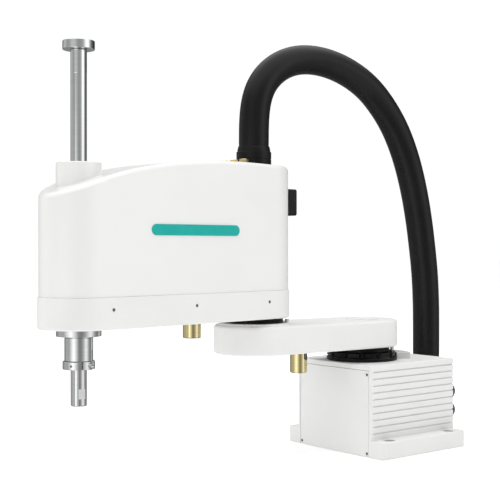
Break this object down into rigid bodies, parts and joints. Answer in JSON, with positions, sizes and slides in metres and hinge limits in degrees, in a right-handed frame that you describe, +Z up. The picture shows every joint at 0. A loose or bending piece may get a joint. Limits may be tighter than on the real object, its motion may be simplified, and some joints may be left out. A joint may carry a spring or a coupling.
{
  "type": "scara robot arm",
  "caption": "Four-axis SCARA arm: finned base, two horizontal links, covered outer arm with a vertical spline shaft, and an overhead conduit hose back to the base.",
  "frame": {"origin": "first joint axis where it meets the mounting plane under the base", "axes": "+Z up along all four joint axes; +X from the base towards its flat front cover, the direction of straight reach; +Y to the robot's left, one of the two finned sides"},
  "size_m": [0.7325, 0.204, 0.5991],
  "materials": {
    "painted_casting": "satin",
    "cover_plastic": "satin",
    "screw_steel": "satin",
    "black_fitting": "satin",
    "hose_rubber": "satin",
    "belt_rubber": "matte",
    "motor_case": "satin",
    "black_reducer": "satin",
    "bracket_metal": "satin",
    "ground_steel": "polished",
    "brass_pin": "gloss",
    "brass_fitting": "gloss",
    "teal_mark": "satin"
  },
  "bodies": {
    "base": {"base_casting": "painted_casting", "front_cover": "painted_casting", "front_cover_screw_1": "screw_steel", "front_cover_screw_2": "screw_steel", "front_cover_screw_3": "screw_steel", "front_cover_screw_4": "screw_steel", "rear_panel": "painted_casting", "rear_signal_connector": "black_fitting", "rear_power_connector": "black_fitting", "conduit_elbow": "black_fitting", "conduit_gland_lower": "black_fitting", "conduit_hose": "hose_rubber", "j1_motor": "motor_case", "j1_reducer_ring": "black_reducer", "j1_stop_screw": "screw_steel", "base_top_block": "bracket_metal"},
    "j1_wave": {"j1_wave_generator": "ground_steel"},
    "arm1": {"arm1_link": "painted_casting", "arm1_top_cap": "painted_casting", "j1_output_flange": "black_reducer", "j1_stop_pin": "brass_pin", "j1_stop_bumper": "belt_rubber", "j2_reducer_ring": "black_reducer", "j2_stop_screw": "screw_steel"},
    "arm2": {"arm2_casting": "painted_casting", "arm2_cover": "cover_plastic", "cover_screw_1": "screw_steel", "cover_screw_2": "screw_steel", "cover_screw_3": "screw_steel", "cover_screw_4": "screw_steel", "cover_screw_5": "screw_steel", "cover_screw_6": "screw_steel", "conduit_gland_upper": "black_fitting", "air_fitting_1": "brass_fitting", "air_fitting_2": "brass_fitting", "air_fitting_3": "brass_fitting", "user_connector": "black_fitting", "accent_bar": "teal_mark", "j2_output_flange": "black_reducer", "j2_motor": "motor_case", "j3_motor": "motor_case", "j4_motor": "motor_case", "motor_bracket": "bracket_metal", "ball_nut_bearing": "ground_steel", "j3_belt": "belt_rubber", "j4_belt": "belt_rubber", "j2_stop_pin": "brass_pin", "spline_bearing_flange": "ground_steel"},
    "j2_wave": {"j2_wave_generator": "ground_steel"},
    "j3_drive": {"j3_motor_pulley": "ground_steel"},
    "j4_drive": {"j4_motor_pulley": "ground_steel"},
    "ball_nut": {"ball_nut": "ground_steel"},
    "spline_nut": {"spline_nut": "ground_steel", "spline_pulley": "ground_steel"},
    "shaft": {"spline_shaft": "ground_steel", "shaft_top_cap": "ground_steel", "clamp_collar": "ground_steel", "clamp_screw": "screw_steel"}
  },
  "joints": [
    {"name": "j1", "type": "hinge", "parent": "base", "child": "arm1", "pos_m": [0, 0, 0.154], "axis": [0, 0, 1], "range_deg": [-125.4, 134.6], "deforming": ["conduit_hose"]},
    {"name": "j1_wave_spin", "type": "hinge", "parent": "base", "child": "j1_wave", "pos_m": [0, 0, 0.13], "axis": [0, 0, 1], "continuous": true},
    {"name": "j2", "type": "hinge", "parent": "arm1", "child": "arm2", "pos_m": [0.19936, -0.01604, 0.2], "axis": [0, 0, 1], "range_deg": [-152.9, 133.1]},
    {"name": "j2_wave_spin", "type": "hinge", "parent": "arm2", "child": "j2_wave", "pos_m": [0.19936, -0.01604, 0.2], "axis": [0, 0, 1], "continuous": true},
    {"name": "j4_roll", "type": "hinge", "parent": "arm2", "child": "spline_nut", "pos_m": [0.49807, 0.01167, 0.19], "axis": [0, 0, 1], "range_deg": [-360, 360]},
    {"name": "j3_slide", "type": "slide", "parent": "spline_nut", "child": "shaft", "axis": [0, 0, 1], "range_m": [-0.135, 0]},
    {"name": "ball_nut_spin", "type": "hinge", "parent": "arm2", "child": "ball_nut", "pos_m": [0.49807, 0.01167, 0.25], "axis": [0, 0, 1], "continuous": true},
    {"name": "j3_drive_spin", "type": "hinge", "parent": "arm2", "child": "j3_drive", "pos_m": [0.41344, 0.00382, 0.24], "axis": [0, 0, 1], "continuous": true},
    {"name": "j4_drive_spin", "type": "hinge", "parent": "arm2", "child": "j4_drive", "pos_m": [0.31884, -0.00496, 0.222], "axis": [0, 0, 1], "continuous": true}
  ],
  "couplings": [
    {"joint": "j1_wave_spin", "follows": "j1", "ratio": -50},
    {"joint": "j2_wave_spin", "follows": "j2", "ratio": 50},
    {"joint": "ball_nut_spin", "follows": "j3_slide", "rad_per_m": -314.16},
    {"joint": "j3_drive_spin", "follows": "j3_slide", "rad_per_m": -538.56},
    {"joint": "j4_drive_spin", "follows": "j4_roll", "ratio": 1.625}
  ]
}
